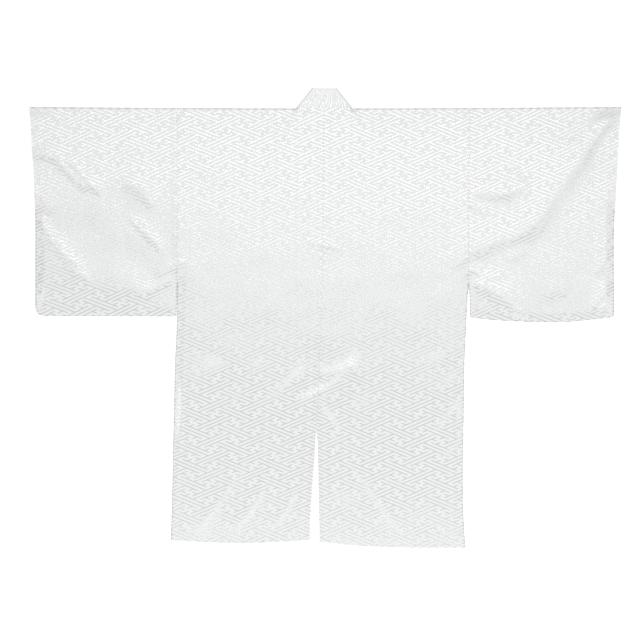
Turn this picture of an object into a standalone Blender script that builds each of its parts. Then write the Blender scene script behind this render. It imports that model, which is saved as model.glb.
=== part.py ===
"""A man's haori with a slit centre back, in white sayagata satin, spread flat with its back up.

Lengths are in metres. The garment lies in the XY plane: +Y runs from the hem to the neck, +X to the
right of the back as it is seen from above, and +Z up from the surface that the fronts lie on.
The origin is on that surface, under the middle of the garment.

Each body length is one piece of cloth that runs from the front hem over the shoulder to the back hem,
and each sleeve is one piece folded at the top, so both are open grids folded over and given a
thickness. The back layers carry the soft folds, and the front layers are flat where they rest.
"""

import math
from collections import namedtuple

import bmesh
import bpy
from mathutils import Vector

# Cloth
WALL = 0.0012  # satin and its lining
COLLAR_WALL = 0.0020  # the collar is the same cloth doubled
SEAM_GAP = 0.0003  # two pieces meet this far apart
LAYER_GAP = COLLAR_WALL + SEAM_GAP - WALL  # the back lies on the collar's front bands
FOLD_RADIUS = (WALL + LAYER_GAP) / 2  # middle of the wall, where a layer turns over
EDGE_INSET = WALL * 0.65  # the same line at an edge that is sewn or folded shut at the side
COLLAR_GAP = 0.0006  # between the collar's two layers above the shoulder line
COLLAR_RADIUS = (COLLAR_WALL + COLLAR_GAP) / 2
LOFT = 0.0007  # how far a back layer lifts off away from its edges
MOST_RELIEF = 0.0027  # the layers stay closer than 4 mm, so no hollow opens between them

# Garment
SHOULDER_Y = 0.4805  # shoulder line at the neck
SHOULDER_RISE = 0.0036  # the line is this much higher at the cuffs
HALF_SPAN = 0.6803  # centre back to the end of the sleeve
ARMHOLE = 0.402  # sewn length of the sleeve, down from the shoulder
CUFF_OPENING = 0.232  # open length of the cuff, and the rest is sewn up
NECK_HALF = 0.0627  # half the neck seam along the shoulder line
NECK_X = -0.0023  # middle of the neck
COLLAR_STAND = 0.0480  # the collar stands this far past the shoulder line
COLLAR_TOP_HALF = 0.0276  # half its length along the top
BAND_OUTER = 0.0700  # front bands: seam edge from the line between the fronts
BAND_INNER = 0.0165  # front bands: free edge from the same line
BAND_SETTLES = 0.110  # down from the shoulder, where the band hangs straight

SLIT_TOP = 0.718  # the centre back is sewn down to here, and open below
# Grids
BODY_ROWS = 33
SLIT_ROW = 24  # the row that lies at the top of the slit
FRONT_COLUMNS = 10
NECK_COLUMNS = 3
SLEEVE_ROWS = 18
SLEEVE_COLUMNS = 14
FOLD_STEPS = 4
COLLAR_COLUMNS = 3
COLLAR_BACK_STEPS = 4
MERGE = 0.0001
SEWN_SETTLES = 0.060
EDGE_WINDOW = 0.030  # folds fade out over this width along a turned or sewn edge
AXIS_SAMPLES = 14

SideRow = namedtuple("SideRow", "down left right")
SleeveRow = namedtuple("SleeveRow", "down apart cuff")
HemRow = namedtuple("HemRow", "across level")
Fold = namedtuple("Fold", "x0 y0 x1 y1 x2 y2 width height")

# x of the side edges, of the centre-back seam, and of the slit's two edges below it
SIDES = (
    SideRow(0.000, -0.3400, 0.3327),
    SideRow(0.190, -0.3400, 0.3296),
    SideRow(0.300, -0.3403, 0.3292),
    SideRow(0.402, -0.3404, 0.3288),
    SideRow(0.480, -0.3410, 0.3250),
    SideRow(0.590, -0.3455, 0.3200),
    SideRow(0.718, -0.3486, 0.3182),
    SideRow(0.798, -0.3502, 0.3169),
    SideRow(0.902, -0.3525, 0.3166),
    SideRow(1.012, -0.3560, 0.3219),
)
SEAM = (
    SideRow(0.000, -0.0029, -0.0029),
    SideRow(0.190, -0.0052, -0.0052),
    SideRow(0.384, -0.0066, -0.0066),
    SideRow(0.534, -0.0121, -0.0121),
    SideRow(0.672, -0.0171, -0.0171),
    SideRow(SLIT_TOP, -0.0202, -0.0202),
)
SLIT = (
    SideRow(SLIT_TOP, -0.0202, -0.0202),
    SideRow(0.750, -0.0219, -0.0188),
    SideRow(0.798, -0.0245, -0.0169),
    SideRow(0.902, -0.0321, -0.0146),
    SideRow(1.012, -0.0364, -0.0122),
)
# length of the back by the share of the way across, from the side edge to the centre
LEFT_HEM = (HemRow(0.0, 0.9936), HemRow(0.5, 0.9994), HemRow(1.0, 0.9918))
RIGHT_HEM = (
    HemRow(0.0, 1.0100),
    HemRow(0.4, 1.0094),
    HemRow(0.75, 1.0044),
    HemRow(1.0, 0.9952),
)
# how far the sleeve stands off the body's side edge, and x of the cuff
LEFT_SLEEVE = (
    SleeveRow(0.000, 0.0, -0.6803),
    SleeveRow(0.053, 0.0, -0.6757),
    SleeveRow(0.097, 0.0, -0.6740),
    SleeveRow(0.143, 0.0, -0.6699),
    SleeveRow(0.236, 0.0, -0.6670),
    SleeveRow(0.402, 0.0, -0.6668),
    SleeveRow(0.490, 0.0016, -0.6668),
)
RIGHT_SLEEVE = (
    SleeveRow(0.000, 0.0, 0.6803),
    SleeveRow(0.053, 0.0, 0.6755),
    SleeveRow(0.143, 0.0, 0.6710),
    SleeveRow(0.236, 0.0, 0.6657),
    SleeveRow(0.300, 0.0, 0.6636),
    SleeveRow(0.402, 0.0, 0.6636),
    SleeveRow(0.440, 0.0047, 0.6641),
    SleeveRow(0.490, 0.0078, 0.6641),
)
# y of the sleeve's lower edge by the share of the way across, from the body to the cuff
LEFT_SLEEVE_HEM = (HemRow(0.0, 0.0021), HemRow(0.5, 0.0025), HemRow(1.0, 0.0035))
RIGHT_SLEEVE_HEM = (
    HemRow(0.00, 0.0005),
    HemRow(0.15, -0.0058),
    HemRow(0.50, -0.0110),
    HemRow(0.75, -0.0088),
    HemRow(1.00, 0.0010),
)
LEFT_CORNER = 0.022  # radius of the lower cuff corner
RIGHT_CORNER = 0.008

# Soft folds of the back layers: an axis bent over its middle point, its half width and its height
FOLDS = (
    Fold(0.645, 0.430, 0.580, 0.180, 0.345, 0.110, 0.040, 0.0026),
    Fold(0.350, 0.060, 0.400, 0.020, 0.480, 0.004, 0.024, 0.0020),
    Fold(0.590, 0.020, 0.620, 0.040, 0.645, 0.100, 0.030, 0.0018),
    Fold(0.345, 0.290, 0.400, 0.310, 0.470, 0.300, 0.030, 0.0012),
    Fold(-0.655, 0.360, -0.560, 0.300, -0.500, 0.200, 0.034, 0.0018),
    Fold(-0.520, 0.390, -0.440, 0.280, -0.360, 0.160, 0.036, 0.0018),
    Fold(-0.655, 0.270, -0.640, 0.150, -0.590, 0.110, 0.030, 0.0016),
    Fold(-0.640, 0.030, -0.500, 0.040, -0.350, 0.070, 0.034, 0.0014),
    Fold(-0.100, -0.215, -0.030, -0.160, 0.070, -0.090, 0.026, 0.0020),
    Fold(-0.010, -0.190, 0.010, -0.240, 0.045, -0.290, 0.024, 0.0016),
    Fold(0.120, -0.200, 0.150, -0.300, 0.190, -0.400, 0.050, 0.0014),
    Fold(0.300, -0.140, 0.240, -0.250, 0.160, -0.360, 0.040, 0.0014),
    Fold(-0.330, -0.420, -0.250, -0.300, -0.180, -0.160, 0.045, 0.0016),
    Fold(-0.230, -0.480, -0.150, -0.360, -0.080, -0.280, 0.040, 0.0014),
    Fold(0.000, 0.250, 0.015, 0.200, 0.010, 0.160, 0.022, 0.0010),
)


def eased(share):
    """0 to 1 with level ends."""
    share = min(max(share, 0.0), 1.0)
    return share * share * (3 - 2 * share)


def read(rows, column, at):
    """A column of a table at a place between its rows, on one smooth curve through them."""
    first = rows[0]._fields[0]
    places = [getattr(row, first) for row in rows]
    values = [getattr(row, column) for row in rows]
    at = min(max(at, places[0]), places[-1])
    low = max(i for i in range(len(rows) - 1) if places[i] <= at)
    high = low + 1
    step = places[high] - places[low]

    def slope(i):
        before, after = max(i - 1, 0), min(i + 1, len(rows) - 1)
        return (values[after] - values[before]) / (places[after] - places[before])

    t = (at - places[low]) / step
    return (
        values[low] * (2 * t**3 - 3 * t**2 + 1)
        + values[high] * (3 * t**2 - 2 * t**3)
        + slope(low) * step * (t**3 - 2 * t**2 + t)
        + slope(high) * step * (t**3 - t**2)
    )


def side_x(side, down):
    return read(SIDES, "right" if side > 0 else "left", down)


def centre_x(side, down):
    """The sewn centre back, and below it this side's edge of the slit."""
    return read(SEAM if down <= SLIT_TOP else SLIT, "right" if side > 0 else "left", down)


def row_down(way, length):
    """Distance down from the shoulder, with one row of the grid at the top of the slit."""
    row = way * BODY_ROWS
    if row <= SLIT_ROW:
        return SLIT_TOP * row / SLIT_ROW
    return SLIT_TOP + (length - SLIT_TOP) * (row - SLIT_ROW) / (BODY_ROWS - SLIT_ROW)


def shoulder_y(x):
    return SHOULDER_Y + SHOULDER_RISE * (x / HALF_SPAN) ** 2


def fold_axis(fold):
    """Points along the fold, from one end to the other."""
    points = []
    for i in range(AXIS_SAMPLES + 1):
        t = i / AXIS_SAMPLES
        near, middle, far = (1 - t) ** 2, 2 * t * (1 - t), t**2
        points.append(
            (
                near * fold.x0 + middle * fold.x1 + far * fold.x2,
                near * fold.y0 + middle * fold.y1 + far * fold.y2,
                t,
            )
        )
    return points


AXES = [(fold, fold_axis(fold)) for fold in FOLDS]


def relief(x, y):
    """Height of the soft folds above the lofted layer."""
    height = 0.0
    for fold, axis in AXES:
        away, t = min((math.hypot(x - px, y - py), t) for px, py, t in axis)
        ends = eased(4 * t) * eased(4 * (1 - t))
        height += fold.height * ends * math.exp(-2.0 * (away / fold.width) ** 2)
    limit = MOST_RELIEF - LOFT
    return limit * math.tanh(height / limit)


def back_z(x, y, window):
    """Middle of a back layer's wall."""
    return WALL / 2 + 2 * FOLD_RADIUS + window * (LOFT + relief(x, y))


def turned(angle, radius, level):
    """How far a turned edge stands out, and its height, at an angle from the upper layer."""
    return radius * math.sin(angle), level + radius * math.cos(angle)


def sewn_inset(down, start):
    """Middle of the wall in from a sewn edge, drawn in a little more where the sewing starts."""
    return EDGE_INSET + SEAM_GAP * (1 - eased((down - start) / SEWN_SETTLES))


def layer_rows(row, rows):
    """Which layer a grid row is in, and its share of the way down or its angle round the fold."""
    if row <= rows:
        return "back", 1 - row / rows
    if row < rows + FOLD_STEPS:
        return "fold", math.pi * (row - rows) / FOLD_STEPS
    return "front", (row - rows - FOLD_STEPS) / rows


def rounded(width, height, radius):
    """Insets that carry a point near a square corner onto a rounded one."""
    across, up = max(0.0, 1 - width / radius), max(0.0, 1 - height / radius)
    new_across = across * math.sqrt(1 - up**2 / 2)
    new_up = up * math.sqrt(1 - across**2 / 2)
    return (across - new_across) * radius, (up - new_up) * radius


def material(name, colour, roughness):
    made = bpy.data.materials.new(name)
    made.use_nodes = True
    shader = made.node_tree.nodes["Principled BSDF"]
    shader.inputs["Base Color"].default_value = (*colour, 1.0)
    shader.inputs["Roughness"].default_value = roughness
    shader.inputs["Metallic"].default_value = 0.0
    return made


def cloth(name, place, columns, rows, wall, finish, collection):
    """A grid moved to place(column, row), joined where its edges meet, and given its thickness.

    A point that place() gives as None is cut away.
    """
    mesh = bpy.data.meshes.new(name)
    grid = bmesh.new()
    bmesh.ops.create_grid(grid, x_segments=columns, y_segments=rows, size=0.5)
    cut_away = []
    for vertex in grid.verts:
        column = round((vertex.co.x + 0.5) * columns)
        row = round((vertex.co.y + 0.5) * rows)
        spot = place(column, row)
        if spot is None:
            cut_away.append(vertex)
        else:
            vertex.co = Vector(spot)
    bmesh.ops.delete(grid, geom=cut_away, context="VERTS")
    bmesh.ops.remove_doubles(grid, verts=grid.verts, dist=MERGE)
    bmesh.ops.recalc_face_normals(grid, faces=grid.faces)
    grid.to_mesh(mesh)
    grid.free()
    mesh.shade_smooth()
    mesh.materials.append(finish)
    made = bpy.data.objects.new(name, mesh)
    collection.objects.link(made)
    solid = made.modifiers.new("thickness", "SOLIDIFY")
    solid.thickness = wall
    solid.offset = 0.0
    solid.use_even_offset = True
    return made


def band_x(side, down, at_neck, below):
    """x along a front band that starts this far from the neck's middle and hangs that far off."""
    spread = eased(down / BAND_SETTLES)
    middle = (centre_x(-1, down) + centre_x(1, down)) / 2
    middle += (NECK_X - SEAM[0].left) * (1 - spread)
    return middle + side * (at_neck + (below - at_neck) * spread)


def collar_seam(side, down):
    """x of the seam between a front and its collar band."""
    return band_x(side, down, NECK_HALF, BAND_OUTER)


def collar_free_edge(side, down):
    """x of the free edge of a front band."""
    return band_x(side, down, COLLAR_TOP_HALF, BAND_INNER)


def body_length(name, side, finish, collection):
    """One length of cloth from the back hem over the shoulder to the front hem."""
    hem = RIGHT_HEM if side > 0 else LEFT_HEM
    neck_column = 1 + FRONT_COLUMNS
    columns = neck_column + NECK_COLUMNS
    rows = 2 * BODY_ROWS + FOLD_STEPS
    half_width = abs(side_x(side, 0.0) - centre_x(side, 0.0))
    neck_share = 1 - (NECK_HALF + SEAM_GAP) / half_width

    def across(column):
        """Share of the way from the side to the centre back."""
        if column <= neck_column:
            return neck_share * max(column - 1, 0) / FRONT_COLUMNS
        return neck_share + (1 - neck_share) * (column - neck_column) / NECK_COLUMNS

    def place(column, row):
        layer, way = layer_rows(row, BODY_ROWS)
        if layer != "back" and column > neck_column:
            return None
        share = across(column)
        length = read(hem, "level", share)
        down = row_down(way, length) if layer != "fold" else 0.0
        edge_x = side_x(side, down) - side * SEAM_GAP / 2
        outer = edge_x - side * (FOLD_RADIUS + WALL / 2) * min(column, 1)
        if layer == "back":
            inner = centre_x(side, down) + side * SEAM_GAP / 2
            x = outer + (inner - outer) * share
        else:
            inner = collar_seam(side, down) + side * SEAM_GAP
            x = outer + (inner - outer) * share / neck_share
        turn = FOLD_RADIUS + WALL / 2 if column <= neck_column else 0.0
        top = shoulder_y(x) - turn
        y = top - down * (1 - turn / length)
        level = WALL / 2 + FOLD_RADIUS
        if layer == "fold":
            out, z = turned(way, FOLD_RADIUS, level)
            return x, y + out, z
        if column == 0 and down > ARMHOLE:
            return edge_x - side * sewn_inset(down, ARMHOLE), y, level
        if layer == "front":
            return x, y, WALL / 2
        window = eased(abs(x - edge_x) / EDGE_WINDOW)
        if column <= neck_column:
            window *= eased((shoulder_y(x) - y) / EDGE_WINDOW)
        return x, y, back_z(x, y, window)

    return cloth(name, place, columns, rows, WALL, finish, collection)


def sleeve(name, side, finish, collection):
    """One piece folded at the top, sewn along the lower edge and up part of the cuff."""
    edges = RIGHT_SLEEVE if side > 0 else LEFT_SLEEVE
    hem = RIGHT_SLEEVE_HEM if side > 0 else LEFT_SLEEVE_HEM
    corner = RIGHT_CORNER if side > 0 else LEFT_CORNER
    turn = FOLD_RADIUS + WALL / 2
    columns = SLEEVE_COLUMNS + 2
    rows = 2 * SLEEVE_ROWS + FOLD_STEPS + 2
    level = WALL / 2 + FOLD_RADIUS

    def place(column, row):
        lower_edge = row in (0, rows)
        if lower_edge:
            column = min(max(column, 1), columns - 1)  # closes the corner with one triangle
        layer, way = layer_rows(min(max(row - 1, 0), rows - 2), SLEEVE_ROWS)
        share = min(max(column - 1, 0), SLEEVE_COLUMNS) / SLEEVE_COLUMNS
        end = column in (0, columns)
        bottom = read(hem, "level", share)
        down = 0.0 if layer == "fold" else way * (SHOULDER_Y - bottom)
        apart = max(read(edges, "apart", down), 0.0) + SEAM_GAP / 2
        inner_x = side_x(side, down) + side * apart
        cuff_x = read(edges, "cuff", down)
        inner, cuff = inner_x + side * turn, cuff_x - side * turn
        x = inner + (cuff - inner) * share
        top = shoulder_y(x) - turn
        low = bottom + turn
        y = top - (0.0 if layer == "fold" else way) * (top - low)
        inset_x, inset_y = rounded(abs(cuff_x - x), abs(y - bottom), corner)
        x -= side * inset_x
        y += inset_y
        if layer == "fold":
            out, z = turned(way, FOLD_RADIUS, level)
            if end:
                x = inner_x if column == 0 else cuff_x
            return x, y + out, z
        start = ARMHOLE if column == 0 else CUFF_OPENING
        sewn = down > start
        if end:
            reach = turn - sewn_inset(down, start) if sewn else turn
            x += side * reach * (-1 if column == 0 else 1)
        if lower_edge:
            y -= turn - EDGE_INSET
        if lower_edge or end and sewn:
            return x, y, level
        if layer == "front":
            return x, y, WALL / 2
        window = eased((shoulder_y(x) - y) / EDGE_WINDOW) * eased((y - bottom) / EDGE_WINDOW)
        window *= eased(abs(x - inner_x) / EDGE_WINDOW)
        if down > CUFF_OPENING - EDGE_WINDOW:
            window *= eased(abs(x - cuff_x) / EDGE_WINDOW)
        return x, y, back_z(x, y, window)

    return cloth(name, place, columns, rows, WALL, finish, collection)


def collar(name, finish, collection):
    """The doubled band: up one front edge, behind the neck above the shoulder line, and down the other."""
    half = COLLAR_BACK_STEPS + FOLD_STEPS + BODY_ROWS
    fold_start = COLLAR_BACK_STEPS
    fold_end = fold_start + FOLD_STEPS
    upper = COLLAR_WALL / 2 + 2 * COLLAR_RADIUS
    level = COLLAR_WALL / 2 + COLLAR_RADIUS
    reach = COLLAR_RADIUS + COLLAR_WALL / 2

    def fold_line(side):
        """Ends of the slanting edge where the band turns over, kept inside the outline."""
        seam = Vector((NECK_X + side * NECK_HALF, SHOULDER_Y + SEAM_GAP))
        free = Vector((NECK_X + side * COLLAR_TOP_HALF, SHOULDER_Y + COLLAR_STAND))
        along = (free - seam).normalized()
        outward = Vector((side * along.y, -side * along.x))
        free -= outward * reach
        free.y -= COLLAR_WALL / 2
        return seam, free, outward

    def place(column, row):
        step = abs(row - half)
        side = 1 if row >= half else -1
        across = column / COLLAR_COLUMNS
        seam, free, outward = fold_line(side)
        if step <= fold_start:
            share = step / fold_start
            seam_back = Vector((NECK_X + (seam.x - NECK_X) * share, seam.y))
            free_back = Vector((NECK_X + (free.x - NECK_X) * share, free.y))
            spot = seam_back.lerp(free_back, across)
            return spot.x, spot.y, upper
        if step < fold_end:
            out, z = turned(math.pi * (step - fold_start) / FOLD_STEPS, COLLAR_RADIUS, level)
            spot = seam.lerp(free, across) + outward * out
            return spot.x, spot.y, z
        hem = RIGHT_HEM if side > 0 else LEFT_HEM
        length = read(hem, "level", 1.0)
        down = row_down((step - fold_end) / BODY_ROWS, length)
        lag = (free.y - SHOULDER_Y) * (1 - eased(down / BAND_SETTLES))
        lower_seam = Vector((collar_seam(side, down), SHOULDER_Y - down))
        lower_free = Vector((collar_free_edge(side, down), SHOULDER_Y - down + lag))
        if step == fold_end:
            lower_seam, lower_free = seam, free
        spot = lower_seam.lerp(lower_free, across)
        return spot.x, spot.y, COLLAR_WALL / 2

    return cloth(name, place, COLLAR_COLUMNS, 2 * half, COLLAR_WALL, finish, collection)


def main():
    for old in list(bpy.data.objects):
        bpy.data.objects.remove(old, do_unlink=True)
    garment = bpy.data.collections.new("haori")
    bpy.context.scene.collection.children.link(garment)
    satin = material("white_satin", (0.83, 0.845, 0.835), 0.42)
    collar_satin = material("collar_satin", (0.82, 0.835, 0.825), 0.42)
    body_length("body_left", -1, satin, garment)
    body_length("body_right", 1, satin, garment)
    sleeve("sleeve_left", -1, satin, garment)
    sleeve("sleeve_right", 1, satin, garment)
    collar("collar", collar_satin, garment)


main()
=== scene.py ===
"""Looks for the white sayagata satin haori, spread flat with its back up.

Lengths are in metres, in the row frame: +Y towards the neck, +Z up from the floor. Each CAD node is
replaced by a finer shell of the same cut, with the folds that the cloth shows. The key pattern is
woven in the material from the cloth's own coordinates, so it follows every lean of the grain.
"""

import math
from collections import namedtuple

import bmesh
import bpy
import numpy as np
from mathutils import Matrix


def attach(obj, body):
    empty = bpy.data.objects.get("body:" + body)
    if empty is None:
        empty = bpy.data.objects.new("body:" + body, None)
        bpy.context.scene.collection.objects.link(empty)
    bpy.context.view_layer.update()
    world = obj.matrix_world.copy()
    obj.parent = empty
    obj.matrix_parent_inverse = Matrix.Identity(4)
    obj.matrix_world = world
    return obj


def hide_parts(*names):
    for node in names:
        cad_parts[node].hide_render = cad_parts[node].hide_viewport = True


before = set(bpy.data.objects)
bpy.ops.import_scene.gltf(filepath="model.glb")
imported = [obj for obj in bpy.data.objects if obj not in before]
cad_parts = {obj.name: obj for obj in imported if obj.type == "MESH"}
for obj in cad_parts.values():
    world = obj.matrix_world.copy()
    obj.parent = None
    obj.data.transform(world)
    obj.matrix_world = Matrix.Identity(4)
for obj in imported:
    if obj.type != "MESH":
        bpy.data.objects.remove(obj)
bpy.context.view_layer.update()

# Cloth, as in the solids
WALL = 0.0012
COLLAR_WALL = 0.0020
SEAM_GAP = 0.00005
FOLD_RADIUS = (COLLAR_WALL + 0.0003) / 2
COLLAR_RADIUS = (COLLAR_WALL + 0.0006) / 2
EDGE_INSET = WALL * 0.65
LOFT = 0.0010
TURN = FOLD_RADIUS + WALL / 2

# Cut, as in the solids
SHOULDER_Y = 0.4805
SHOULDER_RISE = 0.0036
HALF_SPAN = 0.6803
ARMHOLE = 0.402
CUFF_OPENING = 0.232
SLIT_TOP = 0.718
NECK_HALF = 0.0627
NECK_X = -0.0023
COLLAR_STAND = 0.0480
COLLAR_TOP_HALF = 0.0276
BAND_OUTER = 0.0700
BAND_INNER = 0.0165
BAND_SETTLES = 0.110
SEWN_SETTLES = 0.060

# Flat sizes of the cloth that shows
SLEEVE_CUT_WIDTH = 0.34

# Grids
FRONT_ROWS = 100
FINER = 3  # rows of a back layer for each row of the front
GRID = 1 / (FINER * FRONT_ROWS)
SLIT_SHARE = 0.72  # the share of a body's rows that lie above the slit
FOLD_STEPS = 6
EDGE_WINDOW = 0.022  # folds fade out over this width along a turned or sewn edge
SHOULDER_WINDOW = 0.090  # and over this width along the shoulder fold
PATH_STEPS = 5
FOLD_ENDS = 5.0
NECK_WINDOW = 0.006
CUFF_WINDOW = 0.030
CLOSING = 0.03  # a closed edge settles over this length
WAVES = 9
WAVE_SHORTEST = 0.045
WAVE_GROWTH = 0.011
WAVE_TURN = 2.4
WAVE_SHIFT = 1.7
WAVE_SLOPE = 0.0006

# The woven repeat
REPEAT_LONG = 0.0964
REPEAT_SHORT = 0.0406
LINE_HALF = 0.205  # half the width of a woven line, in units of the key pattern
LINE_SOFT = 0.10
STRIP_WIDTH = 0.054  # the collar's strip in the weave, its place across a repeat and its steps
STRIP_SHIFT = 0.2
STRIP_START = 0.07
STRIP_NECK_STEP = 0.006

# The satin
# partly painted shade: the woven figure is real, but its darker base colour stands in for satin
# floats that turn the light away
FIGURE_SHADED_COLOURS = ((0.585, 0.595, 0.590, 1.0), (0.597, 0.606, 0.602, 1.0))
GROUND_COLOURS = ((0.778, 0.790, 0.784, 1.0), (0.788, 0.800, 0.794, 1.0))
# painted shade: the base colour is darkened along the seams, standing in for the shade in their
# grooves
SEAM_SHADE_COLOUR = (0.55, 0.565, 0.558, 1.0)
SEAM_SHADE_AMOUNT = 0.35
SEAM_SHADE_WIDTH = 0.0020
PUCKER_WIDTH = 0.016
FIGURE_ROUGHNESS = 0.19
GROUND_ROUGHNESS = 0.70
DRIFT_ROUGHNESS = 0.04
THREAD_HEIGHT = 0.0000012
FIGURE_HEIGHT = 0.00003
PUCKER_HEIGHT = 0.0007

SideRow = namedtuple("SideRow", "down left right")
SleeveRow = namedtuple("SleeveRow", "down apart cuff")
HemRow = namedtuple("HemRow", "across level")
GrainRow = namedtuple("GrainRow", "down x repeats tilt")
Fold = namedtuple("Fold", "height near far path")

SIDES = (
    SideRow(0.000, -0.3400, 0.3327),
    SideRow(0.190, -0.3400, 0.3296),
    SideRow(0.300, -0.3403, 0.3292),
    SideRow(0.402, -0.3404, 0.3288),
    SideRow(0.480, -0.3410, 0.3250),
    SideRow(0.590, -0.3455, 0.3200),
    SideRow(0.718, -0.3486, 0.3182),
    SideRow(0.798, -0.3502, 0.3169),
    SideRow(0.902, -0.3525, 0.3166),
    SideRow(1.012, -0.3560, 0.3219),
)
SEAM = (
    SideRow(0.000, -0.0029, -0.0029),
    SideRow(0.190, -0.0052, -0.0052),
    SideRow(0.384, -0.0066, -0.0066),
    SideRow(0.534, -0.0121, -0.0121),
    SideRow(0.672, -0.0171, -0.0171),
    SideRow(SLIT_TOP, -0.0202, -0.0202),
)
SLIT = (
    SideRow(SLIT_TOP, -0.0202, -0.0202),
    SideRow(0.750, -0.0219, -0.0188),
    SideRow(0.798, -0.0245, -0.0169),
    SideRow(0.902, -0.0321, -0.0146),
    SideRow(1.012, -0.0364, -0.0122),
)
LEFT_HEM = (HemRow(0.0, 0.9936), HemRow(0.5, 0.9994), HemRow(1.0, 0.9918))
RIGHT_HEM = (
    HemRow(0.0, 1.0100),
    HemRow(0.4, 1.0094),
    HemRow(0.75, 1.0044),
    HemRow(1.0, 0.9952),
)
LEFT_SLEEVE = (
    SleeveRow(0.000, 0.0, -0.6803),
    SleeveRow(0.053, 0.0, -0.6757),
    SleeveRow(0.097, 0.0, -0.6740),
    SleeveRow(0.143, 0.0, -0.6699),
    SleeveRow(0.236, 0.0, -0.6670),
    SleeveRow(0.402, 0.0, -0.6668),
    SleeveRow(0.490, 0.0016, -0.6668),
)
RIGHT_SLEEVE = (
    SleeveRow(0.000, 0.0, 0.6803),
    SleeveRow(0.053, 0.0, 0.6755),
    SleeveRow(0.143, 0.0, 0.6710),
    SleeveRow(0.236, 0.0, 0.6657),
    SleeveRow(0.300, 0.0, 0.6636),
    SleeveRow(0.402, 0.0, 0.6636),
    SleeveRow(0.440, 0.0047, 0.6641),
    SleeveRow(0.490, 0.0078, 0.6641),
)
LEFT_SLEEVE_HEM = (HemRow(0.0, 0.0021), HemRow(0.5, 0.0025), HemRow(1.0, 0.0035))
RIGHT_SLEEVE_HEM = (
    HemRow(0.00, 0.0005),
    HemRow(0.15, -0.0058),
    HemRow(0.50, -0.0110),
    HemRow(0.75, -0.0088),
    HemRow(1.00, 0.0010),
)
LEFT_CORNER = 0.022
RIGHT_CORNER = 0.008

# The grain of each back piece: where a column of the repeat runs, how many repeats down it has
# come, and how far its rows lean
LEFT_GRAIN = (
    GrainRow(0.000, -0.1392, -1.77, 0.028),
    GrainRow(0.072, -0.1382, 0.0, 0.028),
    GrainRow(0.153, -0.1378, 2.0, 0.029),
    GrainRow(0.234, -0.1390, 4.0, 0.030),
    GrainRow(0.315, -0.1412, 6.0, 0.030),
    GrainRow(0.680, -0.1560, 15.0, 0.016),
    GrainRow(0.761, -0.1600, 17.0, 0.014),
    GrainRow(0.840, -0.1652, 19.0, 0.018),
    GrainRow(0.920, -0.1708, 21.0, 0.022),
    GrainRow(1.012, -0.1765, 23.3, 0.024),
)
RIGHT_GRAIN = (
    GrainRow(0.000, 0.1327, -1.82, 0.014),
    GrainRow(0.074, 0.1321, 0.0, 0.013),
    GrainRow(0.154, 0.1320, 2.0, 0.013),
    GrainRow(0.236, 0.1313, 4.0, 0.013),
    GrainRow(0.317, 0.1300, 6.0, 0.013),
    GrainRow(0.398, 0.1274, 8.0, 0.013),
    GrainRow(0.682, 0.1184, 15.0, 0.004),
    GrainRow(0.764, 0.1191, 17.0, 0.001),
    GrainRow(0.846, 0.1198, 19.0, 0.001),
    GrainRow(0.928, 0.1212, 21.0, 0.004),
    GrainRow(1.012, 0.1228, 23.07, 0.004),
)
LEFT_SLEEVE_GRAIN = (
    GrainRow(0.000, -0.4752, -0.60, 0.036),
    GrainRow(0.024, -0.4744, 0.0, 0.037),
    GrainRow(0.228, -0.4707, 5.0, 0.040),
    GrainRow(0.428, -0.4684, 10.0, 0.044),
    GrainRow(0.490, -0.4680, 11.5, 0.046),
)
RIGHT_SLEEVE_GRAIN = (
    GrainRow(0.000, 0.4720, -2.40, 0.044),
    GrainRow(0.098, 0.4683, 0.0, 0.044),
    GrainRow(0.261, 0.4638, 4.0, 0.044),
    GrainRow(0.384, 0.4603, 7.0, 0.044),
    GrainRow(0.495, 0.4580, 9.75, 0.044),
)

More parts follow.
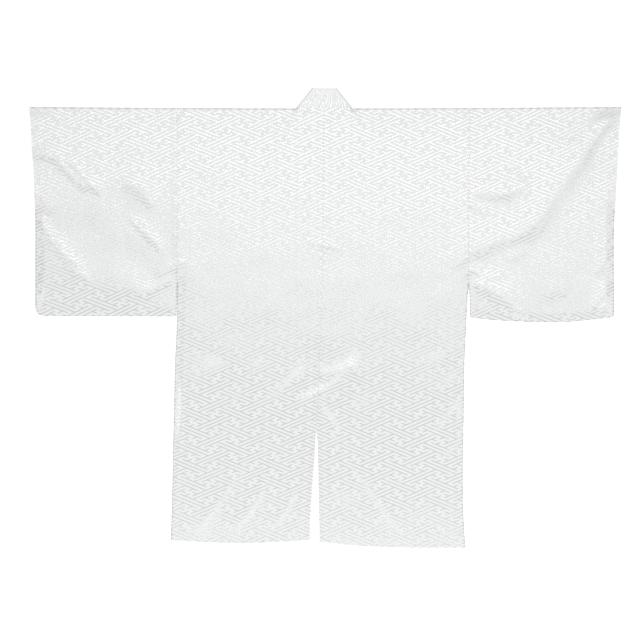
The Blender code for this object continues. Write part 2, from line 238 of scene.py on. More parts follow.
# Folds of the back layers. Each path runs along the middle of the steep face, which looks to the
# right of its direction; near and far are the half widths of that face and of the gentle one, and
# the last number of a point scales height and widths there
FOLDS = (
    # right sleeve
    Fold(
        0.0015,
        0.026,
        0.060,
        ((0.287, 0.107, 0.5), (0.317, 0.123, 0.7), (0.356, 0.146, 1.0), (0.402, 0.164, 1.0),
         (0.448, 0.178, 1.0), (0.489, 0.206, 0.9), (0.522, 0.243, 0.6)),
    ),
    Fold(
        0.0026,
        0.038,
        0.100,
        ((0.413, 0.162, 0.5), (0.459, 0.183, 0.8), (0.494, 0.210, 1.0), (0.519, 0.245, 1.0),
         (0.545, 0.282, 1.0), (0.574, 0.321, 1.0), (0.600, 0.360, 0.85), (0.620, 0.397, 0.6),
         (0.641, 0.427, 0.5), (0.673, 0.463, 0.45), (0.696, 0.491, 0.4)),
    ),
    Fold(
        0.0020,
        0.026,
        0.050,
        ((0.324, 0.279, 0.6), (0.356, 0.277, 1.0), (0.388, 0.273, 1.0), (0.420, 0.277, 1.0),
         (0.453, 0.289, 1.0), (0.480, 0.302, 0.6)),
    ),
    Fold(
        0.0006,
        0.010,
        0.024,
        ((0.319, 0.259, 1.0), (0.342, 0.250, 1.0), (0.361, 0.240, 1.0), (0.379, 0.231, 0.6)),
    ),
    Fold(
        0.0009,
        0.010,
        0.022,
        ((0.319, 0.109, 0.8), (0.347, 0.098, 1.0), (0.379, 0.089, 1.0), (0.411, 0.084, 0.7)),
    ),
    Fold(
        0.0026,
        0.018,
        0.040,
        ((0.326, 0.084, 0.5), (0.351, 0.068, 0.9), (0.374, 0.054, 1.1), (0.397, 0.038, 1.2),
         (0.420, 0.020, 1.1), (0.443, 0.001, 0.9), (0.464, -0.017, 0.7)),
    ),
    Fold(
        0.0017,
        0.016,
        0.030,
        ((0.618, 0.006, 0.6), (0.637, 0.031, 1.0), (0.653, 0.049, 1.1), (0.673, 0.072, 1.0)),
    ),
    Fold(
        0.0008,
        0.012,
        0.024,
        ((0.618, 0.089, 0.6), (0.641, 0.114, 1.0), (0.664, 0.139, 1.0), (0.687, 0.162, 0.8)),
    ),
    Fold(0.0005, 0.010, 0.020, ((0.625, 0.146, 0.6), (0.648, 0.162, 1.0), (0.678, 0.183, 1.0))),
    Fold(0.0005, 0.018, 0.030, ((0.505, 0.049, 1.0), (0.533, 0.049, 1.0), (0.561, 0.052, 1.0))),
    Fold(0.0006, 0.016, 0.034, ((0.420, 0.125, 0.7), (0.446, 0.137, 1.0), (0.473, 0.153, 0.7))),
    # left sleeve
    Fold(
        0.0013,
        0.013,
        0.034,
        ((-0.697, 0.367, 1.2), (-0.647, 0.367, 1.2), (-0.617, 0.353, 1.0), (-0.589, 0.325, 0.8),
         (-0.564, 0.300, 0.9), (-0.541, 0.291, 0.8), (-0.518, 0.291, 0.5)),
    ),
    Fold(
        0.0008,
        0.010,
        0.022,
        ((-0.605, 0.371, 0.6), (-0.578, 0.344, 1.0), (-0.553, 0.316, 1.0), (-0.530, 0.291, 1.0),
         (-0.516, 0.273, 0.5)),
    ),
    Fold(
        0.0013,
        0.026,
        0.050,
        ((-0.472, 0.307, 0.5), (-0.442, 0.291, 1.0), (-0.417, 0.268, 1.0), (-0.392, 0.245, 0.5)),
    ),
    Fold(
        0.0009,
        0.010,
        0.024,
        ((-0.458, 0.233, 0.5), (-0.431, 0.204, 0.9), (-0.408, 0.181, 1.0), (-0.385, 0.158, 0.8),
         (-0.369, 0.139, 0.4)),
    ),
    Fold(0.0010, 0.010, 0.050, ((-0.693, 0.293, 1.0), (-0.656, 0.263, 1.0), (-0.633, 0.233, 0.6))),
    Fold(0.0009, 0.010, 0.022, ((-0.693, 0.238, 1.0), (-0.656, 0.208, 1.0), (-0.633, 0.181, 0.6))),
    Fold(
        0.0013,
        0.012,
        0.030,
        ((-0.693, 0.222, 1.0), (-0.654, 0.190, 1.0), (-0.622, 0.158, 1.0), (-0.594, 0.135, 0.8),
         (-0.562, 0.112, 0.5)),
    ),
    Fold(
        0.0008,
        0.012,
        0.026,
        ((-0.628, 0.146, 0.6), (-0.596, 0.118, 1.0), (-0.564, 0.091, 1.0), (-0.536, 0.072, 0.5)),
    ),
    Fold(
        0.0028,
        0.050,
        0.110,
        ((-0.693, 0.093, 1.0), (-0.622, 0.068, 1.0), (-0.541, 0.054, 0.9), (-0.461, 0.052, 0.7),
         (-0.380, 0.059, 0.4)),
    ),
    Fold(
        0.0016,
        0.016,
        0.034,
        ((-0.697, 0.063, 1.2), (-0.651, 0.052, 1.2), (-0.615, 0.043, 1.0), (-0.573, 0.036, 0.6),
         (-0.527, 0.031, 0.4)),
    ),
    Fold(
        0.0011,
        0.012,
        0.030,
        ((-0.500, 0.017, 0.5), (-0.456, 0.029, 0.8), (-0.421, 0.043, 1.0), (-0.389, 0.061, 1.0),
         (-0.362, 0.075, 1.0), (-0.339, 0.082, 0.8)),
    ),
    Fold(
        0.0008,
        0.010,
        0.024,
        ((-0.394, 0.089, 0.5), (-0.364, 0.102, 1.0), (-0.339, 0.114, 1.0), (-0.313, 0.130, 0.8)),
    ),
    # pulls at the slit
    Fold(
        0.0014,
        0.012,
        0.022,
        ((0.064, -0.075, 0.8), (0.052, -0.107, 1.3), (0.036, -0.137, 1.7), (0.006, -0.155, 1.4),
         (-0.024, -0.169, 1.1), (-0.051, -0.183, 0.9), (-0.083, -0.201, 0.6)),
    ),
    Fold(0.0013, 0.024, 0.030, ((0.071, -0.098, 1.0), (0.025, -0.116, 1.0), (-0.021, -0.123, 0.8))),
    Fold(
        0.0014,
        0.014,
        0.022,
        ((0.045, -0.284, 0.8), (0.029, -0.254, 1.2), (0.011, -0.227, 1.2), (-0.007, -0.204, 0.9),
         (-0.021, -0.183, 0.6)),
    ),
    Fold(
        0.0014,
        0.014,
        0.022,
        ((0.317, -0.183, 0.8), (0.294, -0.210, 1.1), (0.271, -0.238, 1.2), (0.248, -0.268, 1.0),
         (0.225, -0.298, 0.6)),
    ),
    Fold(
        0.0010,
        0.013,
        0.030,
        ((0.236, -0.201, 0.5), (0.264, -0.185, 0.9), (0.292, -0.164, 1.1), (0.319, -0.144, 1.0),
         (0.340, -0.128, 0.8)),
    ),
    Fold(
        0.0010,
        0.013,
        0.030,
        ((0.259, -0.325, 0.5), (0.287, -0.307, 1.0), (0.312, -0.289, 1.0), (0.338, -0.273, 0.8)),
    ),
    Fold(
        0.0009,
        0.011,
        0.024,
        ((0.006, -0.277, 0.6), (0.045, -0.323, 0.8), (0.080, -0.365, 1.0), (0.114, -0.415, 1.1),
         (0.144, -0.461, 1.1), (0.165, -0.496, 0.8)),
    ),
    Fold(
        0.0011,
        0.016,
        0.022,
        ((-0.293, -0.498, 0.7), (-0.260, -0.454, 1.0), (-0.231, -0.413, 1.0),
         (-0.201, -0.369, 0.9), (-0.171, -0.319, 0.6)),
    ),
    Fold(
        0.0011,
        0.012,
        0.018,
        ((-0.205, -0.493, 0.7), (-0.173, -0.450, 1.0), (-0.145, -0.406, 1.0),
         (-0.127, -0.360, 0.9), (-0.111, -0.307, 0.6)),
    ),
    Fold(
        0.0010,
        0.012,
        0.018,
        ((-0.116, -0.489, 0.7), (-0.090, -0.447, 1.0), (-0.070, -0.406, 1.0),
         (-0.056, -0.360, 0.8), (-0.042, -0.307, 0.6)),
    ),
    Fold(
        0.0015,
        0.018,
        0.028,
        ((-0.042, -0.100, 0.7), (-0.076, -0.135, 1.0), (-0.113, -0.176, 1.1),
         (-0.141, -0.227, 1.1), (-0.157, -0.277, 0.9), (-0.175, -0.328, 0.6)),
    ),
    Fold(
        0.0012,
        0.018,
        0.030,
        ((-0.145, -0.079, 0.7), (-0.173, -0.130, 1.0), (-0.205, -0.185, 1.0),
         (-0.242, -0.240, 1.0), (-0.283, -0.296, 0.7)),
    ),
    Fold(
        0.0022,
        0.050,
        0.060,
        ((-0.352, -0.296, 0.8), (-0.311, -0.236, 1.0), (-0.270, -0.171, 1.0),
         (-0.224, -0.098, 0.7)),
    ),
    Fold(
        0.0016,
        0.040,
        0.060,
        ((0.062, -0.447, 0.7), (0.080, -0.351, 1.0), (0.098, -0.259, 1.0), (0.108, -0.167, 0.7)),
    ),
    Fold(
        0.0012,
        0.030,
        0.050,
        ((0.236, -0.282, 0.7), (0.250, -0.213, 1.0), (0.264, -0.144, 1.0), (0.273, -0.075, 0.7)),
    ),
    Fold(
        0.0005,
        0.008,
        0.018,
        ((0.009, 0.215, 0.6), (0.016, 0.243, 1.0), (0.022, 0.270, 1.0), (0.027, 0.293, 0.6)),
    ),
    Fold(
        0.0005,
        0.008,
        0.018,
        ((-0.053, 0.174, 0.6), (-0.026, 0.167, 1.0), (0.006, 0.160, 1.0), (0.039, 0.151, 0.6)),
    ),
)


def eased(share):
    """0 to 1 with level ends."""
    share = np.clip(share, 0.0, 1.0)
    return share * share * (3 - 2 * share)


def read(rows, column, at):
    """A column of a table at places between its rows, on one smooth curve through them."""
    first = rows[0]._fields[0]
    places = np.array([getattr(row, first) for row in rows])
    values = np.array([getattr(row, column) for row in rows])
    at = np.clip(at, places[0], places[-1])
    low = np.clip(np.searchsorted(places, at, side="right") - 1, 0, len(rows) - 2)
    before = np.maximum(np.arange(len(rows)) - 1, 0)
    after = np.minimum(np.arange(len(rows)) + 1, len(rows) - 1)
    slope = (values[after] - values[before]) / (places[after] - places[before])
    step = places[low + 1] - places[low]
    t = (at - places[low]) / step
    return (
        values[low] * (2 * t**3 - 3 * t**2 + 1)
        + values[low + 1] * (3 * t**2 - 2 * t**3)
        + slope[low] * step * (t**3 - 2 * t**2 + t)
        + slope[low + 1] * step * (t**3 - t**2)
    )


def side_x(side, down):
    return read(SIDES, "right" if side > 0 else "left", down)


def centre_x(side, down):
    """The sewn centre back, and below it this side's edge of the slit."""
    column = "right" if side > 0 else "left"
    return np.where(down <= SLIT_TOP, read(SEAM, column, down), read(SLIT, column, down))


def shoulder_y(x):
    return SHOULDER_Y + SHOULDER_RISE * (x / HALF_SPAN) ** 2


def through(points, steps):
    """A smooth curve through points, as a row of points."""
    before = np.concatenate((points[:1], points[:-1]))
    after = np.concatenate((points[1:], points[-1:]))
    slope = (after - before) / 2
    t = np.arange(steps)[:, None] / steps
    parts = [
        points[i] * (2 * t**3 - 3 * t**2 + 1)
        + points[i + 1] * (3 * t**2 - 2 * t**3)
        + slope[i] * (t**3 - 2 * t**2 + t)
        + slope[i + 1] * (t**3 - t**2)
        for i in range(len(points) - 1)
    ]
    return np.concatenate(parts + [points[-1:]])


def fold_height(fold, x, y):
    """A ridge with one steep face along a path, level at both ends."""
    path = through(np.array(fold.path), PATH_STEPS)
    pieces = len(path) - 1
    best = np.full(x.shape, 1e9)
    along, beside, size = np.zeros_like(x), np.zeros_like(x), np.ones_like(x)
    for i in range(pieces):
        a, b = path[i], path[i + 1]
        step = b[:2] - a[:2]
        share = ((x - a[0]) * step[0] + (y - a[1]) * step[1]) / (step @ step)
        share = np.clip(share, 0, 1)
        dx, dy = x - a[0] - share * step[0], y - a[1] - share * step[1]
        away = np.hypot(dx, dy)
        closer = away < best
        best = np.where(closer, away, best)
        along = np.where(closer, (i + share) / pieces, along)
        right = np.sign(step[1] * dx - step[0] * dy)
        beside = np.where(closer, right * away, beside)
        size = np.where(closer, a[2] + (b[2] - a[2]) * share, size)
    across = beside / size + fold.near / 2
    width = np.where(across > 0, fold.near, fold.far)
    ends = eased(FOLD_ENDS * along) * eased(FOLD_ENDS * (1 - along))
    return fold.height * size * ends * np.exp(-2.0 * (across / width) ** 2)


def relief(x, y):
    """Height of the folds above the lofted layer, on cloth that is never quite even."""
    height = np.zeros_like(x)
    for i in range(WAVES):
        length = WAVE_SHORTEST + WAVE_GROWTH * i
        along = x * math.cos(WAVE_TURN * i) + y * math.sin(WAVE_TURN * i)
        height += WAVE_SLOPE * length * np.sin(math.tau * along / length + WAVE_SHIFT * i)
    for fold in FOLDS:
        reach = 2.2 * max(fold.near, fold.far)
        path = np.array(fold.path)
        inside = (np.abs(x - path[:, 0].mean()) < np.ptp(path[:, 0]) / 2 + reach + 0.05) & (
            np.abs(y - path[:, 1].mean()) < np.ptp(path[:, 1]) / 2 + reach + 0.05
        )
        height[inside] += fold_height(fold, x[inside], y[inside])
    return height


def back_z(x, y, window):
    """Middle of a back layer's wall."""
    return WALL / 2 + 2 * FOLD_RADIUS + window * (LOFT + relief(x, y))


def layer_rows(front_rows):
    """The layer of each grid row (0 back, 1 fold, 2 front), and its way down or round the fold."""
    back = np.linspace(1, 0, FINER * front_rows + 1)
    fold = np.pi * np.arange(1, FOLD_STEPS) / FOLD_STEPS
    front = np.linspace(0, 1, front_rows + 1)
    layer = np.repeat((0, 1, 2), (len(back), len(fold), len(front)))
    return layer, np.concatenate((back, fold, front))


def closed_window(away, down, start):
    """1 inside a piece and 0 on its edge, where that edge is closed: below a certain place."""
    closed = eased((down - start + CLOSING) / CLOSING)
    return 1 - closed * (1 - eased(away / EDGE_WINDOW))


def shoulder_window(x, y):
    """The same along the shoulder fold, but narrow beside the neck and at the cuffs."""
    neck = eased((NECK_HALF + 0.030 - np.abs(x - NECK_X)) / 0.030)
    cuff = eased((np.abs(x) - HALF_SPAN + 0.120) / 0.090)
    width = SHOULDER_WINDOW + (NECK_WINDOW - SHOULDER_WINDOW) * neck
    width += (CUFF_WINDOW - SHOULDER_WINDOW) * cuff
    return eased((shoulder_y(x) - y) / width)


def sewn_inset(down, start):
    return EDGE_INSET + SEAM_GAP * (1 - eased((down - start) / SEWN_SETTLES))


def shell(name, points, maps, keep, wall):
    """A grid of points as one closed cloth shell, with its UV maps."""
    rows, columns = keep.shape
    index = np.arange(rows * columns).reshape(rows, columns)
    corners = (index[:-1, :-1], index[:-1, 1:], index[1:, 1:], index[1:, :-1])
    quads = np.stack(corners, -1)
    kept = keep[:-1, :-1] & keep[:-1, 1:] & keep[1:, 1:] & keep[1:, :-1]
    quads = quads[kept]
    mesh = bpy.data.meshes.new(name + "_cloth")
    mesh.from_pydata(points.reshape(-1, 3), [], quads.tolist())
    for label, values in maps.items():
        layer = mesh.uv_layers.new(name=label)
        layer.data.foreach_set("uv", values.reshape(-1, 2)[quads.ravel()].ravel())
    mesh.uv_layers.active_index = 0
    built = bmesh.new()
    built.from_mesh(mesh)
    loose = [v for v in built.verts if not v.link_faces]
    bmesh.ops.delete(built, geom=loose, context="VERTS")
    bmesh.ops.remove_doubles(built, verts=built.verts, dist=0.0001)
    bmesh.ops.recalc_face_normals(built, faces=built.faces)
    built.to_mesh(mesh)
    built.free()
    made = bpy.data.objects.new(name + "_cloth", mesh)
    bpy.context.scene.collection.objects.link(made)
    solid = made.modifiers.new("thickness", "SOLIDIFY")
    solid.thickness = wall
    solid.offset = 0.0
    solid.use_even_offset = True
    seen = made.evaluated_get(bpy.context.evaluated_depsgraph_get())
    thick = bpy.data.meshes.new_from_object(seen)
    made.modifiers.clear()
    made.data = thick
    bpy.data.meshes.remove(mesh)
    thick.shade_smooth()
    thick.set_sharp_from_angle(angle=math.radians(55))
    thick.uv_layers.active_index = 0
    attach(made, "root")
    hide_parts(name)
    return made


def grain_map(x, down, layer, grain, lean_x):
    """Coordinates in repeats of the weave, carried over the shoulder onto the front."""
    axis = read(grain, "x", down)
    tilt = read(grain, "tilt", down)
    u = (x - axis) / REPEAT_LONG
    v = read(grain, "repeats", down) + tilt * (x - axis) / REPEAT_SHORT
    start = read(grain, "repeats", 0.0) + read(grain, "tilt", 0.0) * (x - axis) / REPEAT_SHORT
    front = layer == 2
    u = np.where(front, (x - lean_x - read(grain, "x", 0.0)) / REPEAT_LONG, u)
    v = np.where(front, start - down / REPEAT_SHORT, v)
    return np.stack((u, v), -1)


def body_length(name, side):
    hem = RIGHT_HEM if side > 0 else LEFT_HEM
    half_width = abs(side_x(side, 0.0) - centre_x(side, 0.0))
    neck_share = 1 - (NECK_HALF + SEAM_GAP) / half_width
    front_columns = round(neck_share * half_width / GRID)
    neck_columns = round((1 - neck_share) * half_width / GRID)
    share = np.concatenate(
        (
            (0.0, 0.0),
            np.linspace(0, neck_share, front_columns + 1)[1:],
            np.linspace(neck_share, 1, neck_columns + 1)[1:],
        )
    )
    layer, way = layer_rows(FRONT_ROWS)
    column, row = np.meshgrid(np.arange(len(share)), np.arange(len(layer)))
    share, layer, way = share[column], layer[row], way[row]
    at_front = layer != 0
    in_neck = column > front_columns + 1
    length = read(hem, "level", share)
    down = np.where(
        way <= SLIT_SHARE,
        SLIT_TOP * way / SLIT_SHARE,
        SLIT_TOP + (length - SLIT_TOP) * (way - SLIT_SHARE) / (1 - SLIT_SHARE),
    )
    down = np.where(layer == 1, 0.0, down)
    edge_x = side_x(side, down) - side * SEAM_GAP / 2
    outer = edge_x - side * TURN * np.minimum(column, 1)
    back_inner = centre_x(side, down) + side * SEAM_GAP / 2
    front_inner = band_x(side, down, NECK_HALF, BAND_OUTER) + side * SEAM_GAP
    x = np.where(
        at_front,
        outer + (front_inner - outer) * share / neck_share,
        outer + (back_inner - outer) * share,
    )
    turn = np.where(in_neck, 0.0, TURN)
    y = shoulder_y(x) - turn - down * (1 - turn / length)
    level = WALL / 2 + FOLD_RADIUS
    window = closed_window(np.abs(x - edge_x), down, ARMHOLE)
    window *= np.where(in_neck, 1.0, shoulder_window(x, y))
    z = np.where(layer == 2, WALL / 2, back_z(x, y, window))
    y = np.where(layer == 1, y + FOLD_RADIUS * np.sin(way), y)
    z = np.where(layer == 1, level + FOLD_RADIUS * np.cos(way), z)
    sewn = (column == 0) & (down > ARMHOLE) & (layer != 1)
    x = np.where(sewn, edge_x - side * sewn_inset(down, ARMHOLE), x)
    z = np.where(sewn, level, z)
    grain = RIGHT_GRAIN if side > 0 else LEFT_GRAIN
    lean = (edge_x - side_x(side, 0.0)) * (layer == 2)
    cloth = grain_map(x, down, layer, grain, lean)
    # distances to the sewn seams, which set the painted seam shade and the puckers
    armhole = np.abs(x - edge_x) + 0.5 * (down > ARMHOLE)
    centre = np.abs(x - back_inner) + 0.5 * (at_front | (down > SLIT_TOP))
    edges = np.stack((armhole, centre), -1)
    keep = ~(at_front & in_neck)
    made = shell(
        name,
        np.stack((x, y, z), -1),
        {"cloth": cloth, "edges": edges},
        keep,
        WALL,
    )
    return made


def rounded(width, height, radius):
    """Insets that carry a point near a square corner onto a rounded one."""
    across = np.maximum(0.0, 1 - width / radius)
    up = np.maximum(0.0, 1 - height / radius)
    new_across = across * np.sqrt(1 - up**2 / 2)
    new_up = up * np.sqrt(1 - across**2 / 2)
    return (across - new_across) * radius, (up - new_up) * radius


def sleeve(name, side):
    edges = RIGHT_SLEEVE if side > 0 else LEFT_SLEEVE
    hem = RIGHT_SLEEVE_HEM if side > 0 else LEFT_SLEEVE_HEM
    corner = RIGHT_CORNER if side > 0 else LEFT_CORNER
    across = round(SLEEVE_CUT_WIDTH / GRID)
    level = WALL / 2 + FOLD_RADIUS
    layer, way = layer_rows(round(0.48 * FRONT_ROWS))
    layer = np.concatenate((layer[:1], layer, layer[-1:]))
    way = np.concatenate((way[:1], way, way[-1:]))
    column, row = np.meshgrid(np.arange(across + 3), np.arange(len(layer)))
    lower_edge = (row == 0) | (row == len(layer) - 1)
    column = np.where(lower_edge, np.clip(column, 1, across + 1), column)
    share = np.clip(column - 1, 0, across) / across
    layer, way = layer[row], way[row]
    bottom = read(hem, "level", share)
    down = np.where(layer == 1, 0.0, way * (SHOULDER_Y - bottom))
    apart = np.maximum(read(edges, "apart", down), 0.0) + SEAM_GAP / 2
    inner_x = side_x(side, down) + side * apart
    cuff_x = read(edges, "cuff", down)
    inner, cuff = inner_x + side * TURN, cuff_x - side * TURN
    x = inner + (cuff - inner) * share
    top, low = shoulder_y(x) - TURN, bottom + TURN
    y = top - np.where(layer == 1, 0.0, way) * (top - low)
    inset_x, inset_y = rounded(np.abs(cuff_x - x), np.abs(y - bottom), corner)
    x, y = x - side * inset_x, y + inset_y
    window = shoulder_window(x, y) * eased((y - bottom) / EDGE_WINDOW)
    window *= closed_window(np.abs(x - inner_x), down, ARMHOLE)
    window *= closed_window(np.abs(x - cuff_x), down, CUFF_OPENING)
    z = np.where(layer == 2, WALL / 2, back_z(x, y, window))
    first, last = column == 0, column == across + 2
    start = np.where(first, ARMHOLE, CUFF_OPENING)
    sewn = (down > start) & (layer != 1)
    reach = np.where(sewn, TURN - sewn_inset(down, start), TURN)
    x = np.where(first, x - side * reach, np.where(last, x + side * reach, x))
    round_fold = layer == 1
    x = np.where(round_fold & first, inner_x, np.where(round_fold & last, cuff_x, x))
    y = np.where(round_fold, y + FOLD_RADIUS * np.sin(way), y)
    z = np.where(round_fold, level + FOLD_RADIUS * np.cos(way), z)
    y = np.where(lower_edge, y - (TURN - EDGE_INSET), y)
    z = np.where(lower_edge | ((first | last) & sewn), level, z)
    grain = RIGHT_SLEEVE_GRAIN if side > 0 else LEFT_SLEEVE_GRAIN
    cloth = grain_map(x, down, layer, grain, 0.0)
    # distance to the sewn armhole seam, which sets the painted seam shade and the puckers
    armhole = np.abs(x - inner_x) + 0.5 * (down > ARMHOLE)
    border = np.stack((armhole, np.full(x.shape, 0.5)), -1)
    made = shell(
        name,
        np.stack((x, y, z), -1),
        {"cloth": cloth, "edges": border},
        np.ones(x.shape, bool),
        WALL,
    )
    return made


def band_x(side, down, at_neck, below):
    """x along a front band that starts this far from the neck's middle and hangs that far off."""
    spread = eased(down / BAND_SETTLES)
    middle = (centre_x(-1, down) + centre_x(1, down)) / 2
    middle = middle + (NECK_X - SEAM[0].left) * (1 - spread)
    return middle + side * (at_neck + (below - at_neck) * spread)


def collar(name):
    across = 12
    back_steps, fold_steps = 12, 8
    front_steps = FRONT_ROWS
    reach = COLLAR_RADIUS + COLLAR_WALL / 2
    upper = COLLAR_WALL / 2 + 2 * COLLAR_RADIUS
    level = COLLAR_WALL / 2 + COLLAR_RADIUS
    slit_step = round(SLIT_SHARE * front_steps)
    half = back_steps + fold_steps + front_steps
    points = np.zeros((2 * half + 1, across + 1, 3))
    cloth = np.zeros((2 * half + 1, across + 1, 2))
    for row in range(2 * half + 1):
        step, side = abs(row - half), 1 if row >= half else -1
        seam = np.array((NECK_X + side * NECK_HALF, SHOULDER_Y + SEAM_GAP))
        free = np.array((NECK_X + side * COLLAR_TOP_HALF, SHOULDER_Y + COLLAR_STAND))
        along = (free - seam) / np.linalg.norm(free - seam)
        outward = np.array((side * along[1], -side * along[0]))
        free = free - outward * reach - (0, COLLAR_WALL / 2)
        if step <= back_steps:
            share = step / back_steps
            ends = [np.array((NECK_X + (p[0] - NECK_X) * share, p[1])) for p in (seam, free)]
            z = upper
        elif step < back_steps + fold_steps:
            angle = math.pi * (step - back_steps) / fold_steps
            out = outward * COLLAR_RADIUS * math.sin(angle)
            ends = [seam + out, free + out]
            z = level + COLLAR_RADIUS * math.cos(angle)
        else:
            z = COLLAR_WALL / 2
            hem = RIGHT_HEM if side > 0 else LEFT_HEM
            length = float(read(hem, "level", 1.0))
            i = step - back_steps - fold_steps
            if i <= slit_step:
                down = SLIT_TOP * i / slit_step
            else:
                below = (i - slit_step) / (front_steps - slit_step)
                down = SLIT_TOP + (length - SLIT_TOP) * below
            lag = (free[1] - SHOULDER_Y) * float(1 - eased(down / BAND_SETTLES))
            seam_x = float(band_x(side, down, NECK_HALF, BAND_OUTER))
            free_x = float(band_x(side, down, COLLAR_TOP_HALF, BAND_INNER))
            ends = [
                np.array((seam_x, SHOULDER_Y - down)),
                np.array((free_x, SHOULDER_Y - down + lag)),
            ]
            if i == 0:
                ends = [seam, free]
        for column in range(across + 1):
            share = column / across
            spot = ends[0] * (1 - share) + ends[1] * share
            points[row, column] = (spot[0], spot[1], z)
            # the length of the strip runs with the cloth's length
            if step <= back_steps:
                length_along = side * step * STRIP_NECK_STEP
            else:
                length_along = side * (STRIP_START + (step - back_steps) / front_steps)
            cloth[row, column] = (
                share * STRIP_WIDTH / REPEAT_LONG + STRIP_SHIFT,
                length_along / REPEAT_SHORT,
            )
    made = shell(
        name,
        points,
        {"cloth": cloth, "edges": np.full(cloth.shape, 0.5)},
        np.ones(points.shape[:2], bool),
        COLLAR_WALL,
    )
    return made


class Graph:
    """Short names for building a material's nodes."""

    def __init__(self, name):
        self.material = bpy.data.materials.new(name)
        self.material.use_nodes = True
        self.nodes = self.material.node_tree.nodes
        self.links = self.material.node_tree.links
        self.shader = self.nodes["Principled BSDF"]

    def node(self, kind, settings=None, **inputs):
        made = self.nodes.new(kind)
        for key, value in (settings or {}).items():
            setattr(made, key, value)
        for key, value in inputs.items():
            self.feed(made.inputs[key.replace("_", " ")], value)
        return made

    def feed(self, socket, value):
        if isinstance(value, bpy.types.NodeSocket):
            self.links.new(value, socket)
        else:
            socket.default_value = value

    def math(self, operation, *values):
        made = self.nodes.new("ShaderNodeMath")
        made.operation = operation
        for socket, value in zip(made.inputs, values):
            self.feed(socket, value)
        return made.outputs[0]

    def add(self, a, b):
        return self.math("ADD", a, b)

    def sub(self, a, b):
        return self.math("SUBTRACT", a, b)

    def mul(self, a, b):
        return self.math("MULTIPLY", a, b)

    def smooth(self, value, low, high, to_low=0.0, to_high=1.0):
        made = self.nodes.new("ShaderNodeMapRange")
        made.interpolation_type = "SMOOTHSTEP"
        for key, item in (
            ("Value", value),
            ("From Min", low),
            ("From Max", high),
            ("To Min", to_low),
            ("To Max", to_high),
        ):
            self.feed(made.inputs[key], item)
        return made.outputs[0]

    def mix(self, share, a, b):
        made = self.nodes.new("ShaderNodeMix")
        made.data_type = "RGBA"
        self.feed(made.inputs["Factor"], share)
        self.feed(made.inputs["A"], a)
        self.feed(made.inputs["B"], b)
        return made.outputs["Result"]

    def noise(self, vector, scale, detail=2.0):
        made = self.node("ShaderNodeTexNoise", Vector=vector, Scale=scale, Detail=detail)
        return made.outputs["Fac"]

    def vector(self, x, y, z=0.0):
        return self.node("ShaderNodeCombineXYZ", X=x, Y=y, Z=z).outputs[0]


def key_lines(g, u, v):
    """How deep a point lies inside the woven lines of the key pattern, in its units.

    The pattern has two crosses of three bars and four spurs, half a repeat apart, one leaning up to
    the right and one down.
    """

    def cross(shift, swap):
        s = g.add(u, shift)
        t = g.add(v, shift)
        s = g.sub(s, g.math("ROUND", s))
        t = g.sub(t, g.math("ROUND", t))
        p = g.math("ABSOLUTE", g.mul(g.add(s, t), 5.0))
        q = g.math("ABSOLUTE", g.mul(g.sub(s, t), 5.0))
        if swap:
            p, q = q, p

        def bar(at_p, half_p, at_q, half_q):
            across = g.sub(half_p, g.math("ABSOLUTE", g.sub(p, at_p)))
            along = g.sub(half_q, g.math("ABSOLUTE", g.sub(q, at_q)))
            return g.math("MINIMUM", across, along)

        middle = bar(0.0, LINE_HALF, 0.0, 4.0)
        beside = bar(1.0, LINE_HALF, 0.0, 3.0 + LINE_HALF)
        spur = bar(1.5, 0.5 + LINE_HALF, 2.0, LINE_HALF)
        return g.math("MAXIMUM", g.math("MAXIMUM", middle, beside), spur)

    return g.math("MAXIMUM", cross(0.0, False), cross(0.5, True))


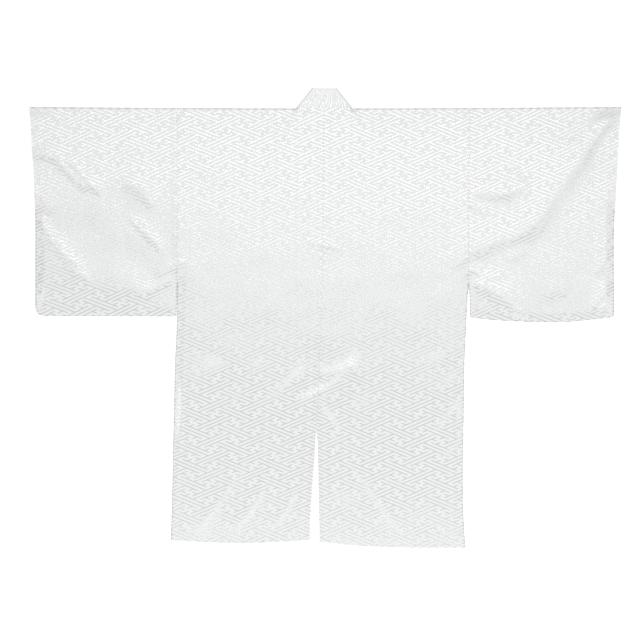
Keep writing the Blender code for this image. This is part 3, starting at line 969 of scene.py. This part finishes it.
def damask(name):
    g = Graph(name)
    cloth = g.node("ShaderNodeUVMap", {"uv_map": "cloth"}).outputs[0]
    parts = g.node("ShaderNodeSeparateXYZ", Vector=cloth)
    u, v = parts.outputs[0], parts.outputs[1]
    depth = key_lines(g, u, v)
    figure = g.smooth(depth, -LINE_SOFT, LINE_SOFT)
    wide, long = g.mul(u, REPEAT_LONG), g.mul(v, REPEAT_SHORT)
    # lustre that drifts over the cloth
    drift = g.noise(g.vector(wide, long), 14.0, 3.0)
    # the figure's darker colour is partly painted shade, standing in for the floats' weaker
    # reflection
    shaded_figure_colour = g.mix(drift, *FIGURE_SHADED_COLOURS)
    ground_colour = g.mix(drift, *GROUND_COLOURS)
    colour = g.mix(figure, ground_colour, shaded_figure_colour)
    edges = g.node("ShaderNodeUVMap", {"uv_map": "edges"}).outputs[0]
    borders = g.node("ShaderNodeSeparateXYZ", Vector=edges)
    nearest = g.math("MINIMUM", borders.outputs[0], borders.outputs[1])
    # painted shade along the inner seams: the base colour darkens within a few millimetres of them
    seam = g.smooth(nearest, 0.0, SEAM_SHADE_WIDTH, 1.0, 0.0)
    colour = g.mix(g.mul(seam, SEAM_SHADE_AMOUNT), colour, SEAM_SHADE_COLOUR)
    g.feed(g.shader.inputs["Base Color"], colour)
    woven = g.smooth(depth, -LINE_SOFT, LINE_SOFT, GROUND_ROUGHNESS, FIGURE_ROUGHNESS)
    roughness = g.add(woven, g.mul(drift, DRIFT_ROUGHNESS))
    g.feed(g.shader.inputs["Roughness"], roughness)
    g.shader.inputs["IOR"].default_value = 1.85
    # satin floats: along the cloth in the figure, across it in the ground
    down_threads = g.noise(g.vector(g.mul(wide, 12.0), g.mul(long, 0.6)), 220.0, 1.0)
    cross_threads = g.noise(g.vector(g.mul(wide, 0.6), g.mul(long, 12.0)), 220.0, 1.0)
    threads = g.add(
        g.mul(down_threads, figure),
        g.mul(cross_threads, g.sub(1.0, figure)),
    )
    pucker = g.noise(g.vector(g.mul(nearest, 0.4), long), 90.0, 1.0)
    height = g.add(
        g.add(g.mul(threads, THREAD_HEIGHT), g.mul(figure, FIGURE_HEIGHT)),
        g.mul(g.mul(pucker, g.smooth(nearest, 0.001, PUCKER_WIDTH, 1.0, 0.0)), PUCKER_HEIGHT),
    )
    bump = g.node("ShaderNodeBump", Strength=1.0, Distance=1.0, Height=height)
    g.feed(g.shader.inputs["Normal"], bump.outputs[0])
    return g.material


def softbox(name, place, size, power):
    """A rectangular area light that looks straight down."""
    data = bpy.data.lights.new(name, "AREA")
    data.shape = "RECTANGLE"
    data.size, data.size_y = size
    data.energy = power
    made = bpy.data.objects.new(name, data)
    made.location = place
    bpy.context.scene.collection.objects.link(made)


def studio():
    scene = bpy.context.scene
    camera = bpy.data.cameras.new("camera")
    camera.sensor_width = 36
    camera.lens = 85.6
    eye = bpy.data.objects.new("camera", camera)
    eye.location = (-0.0121, -0.00575, 3.5)
    scene.collection.objects.link(eye)
    scene.camera = eye
    floor_mesh = bpy.data.meshes.new("floor")
    reach, level = 6.0, -0.0003
    corners = [(-reach, -reach), (reach, -reach), (reach, reach), (-reach, reach)]
    floor_mesh.from_pydata([(x, y, level) for x, y in corners], [], [(0, 1, 2, 3)])
    floor = bpy.data.objects.new("floor", floor_mesh)
    scene.collection.objects.link(floor)
    paper = bpy.data.materials.new("paper")
    paper.use_nodes = True
    shader = paper.node_tree.nodes["Principled BSDF"]
    shader.inputs["Base Color"].default_value = (0.98, 0.98, 0.98, 1)
    shader.inputs["Roughness"].default_value = 0.9
    shader.inputs["Emission Color"].default_value = (1, 1, 1, 1)
    shader.inputs["Emission Strength"].default_value = 0.2
    floor_mesh.materials.append(paper)
    world = bpy.data.worlds.new("studio")
    scene.world = world
    world.use_nodes = True
    background = world.node_tree.nodes["Background"]
    background.inputs["Color"].default_value = (1.0, 1.0, 1.0, 1)
    background.inputs["Strength"].default_value = 0.18
    # the cloth mirrors the key and the overhead box above the waist and neither below it
    softbox("key", (0, 1.06, 4.2), (3.6, 0.90), 70)
    softbox("overhead", (0.5, 0.34, 4.2), (2.7, 0.54), 22)
    softbox("fill", (0, -1.30, 2.5), (4.0, 0.8), 40)
    for side in (-1, 1):
        softbox("side", (1.9 * side, -0.35, 3.0), (0.6, 0.8), 12)
    scene.view_settings.view_transform = "Standard"
    scene.view_settings.look = "None"


satin = damask("satin_damask")
cloth_pieces = [
    body_length("body_left", -1),
    body_length("body_right", 1),
    sleeve("sleeve_left", -1),
    sleeve("sleeve_right", 1),
    collar("collar"),
]
for piece in cloth_pieces:
    piece.data.materials.append(satin)
studio()
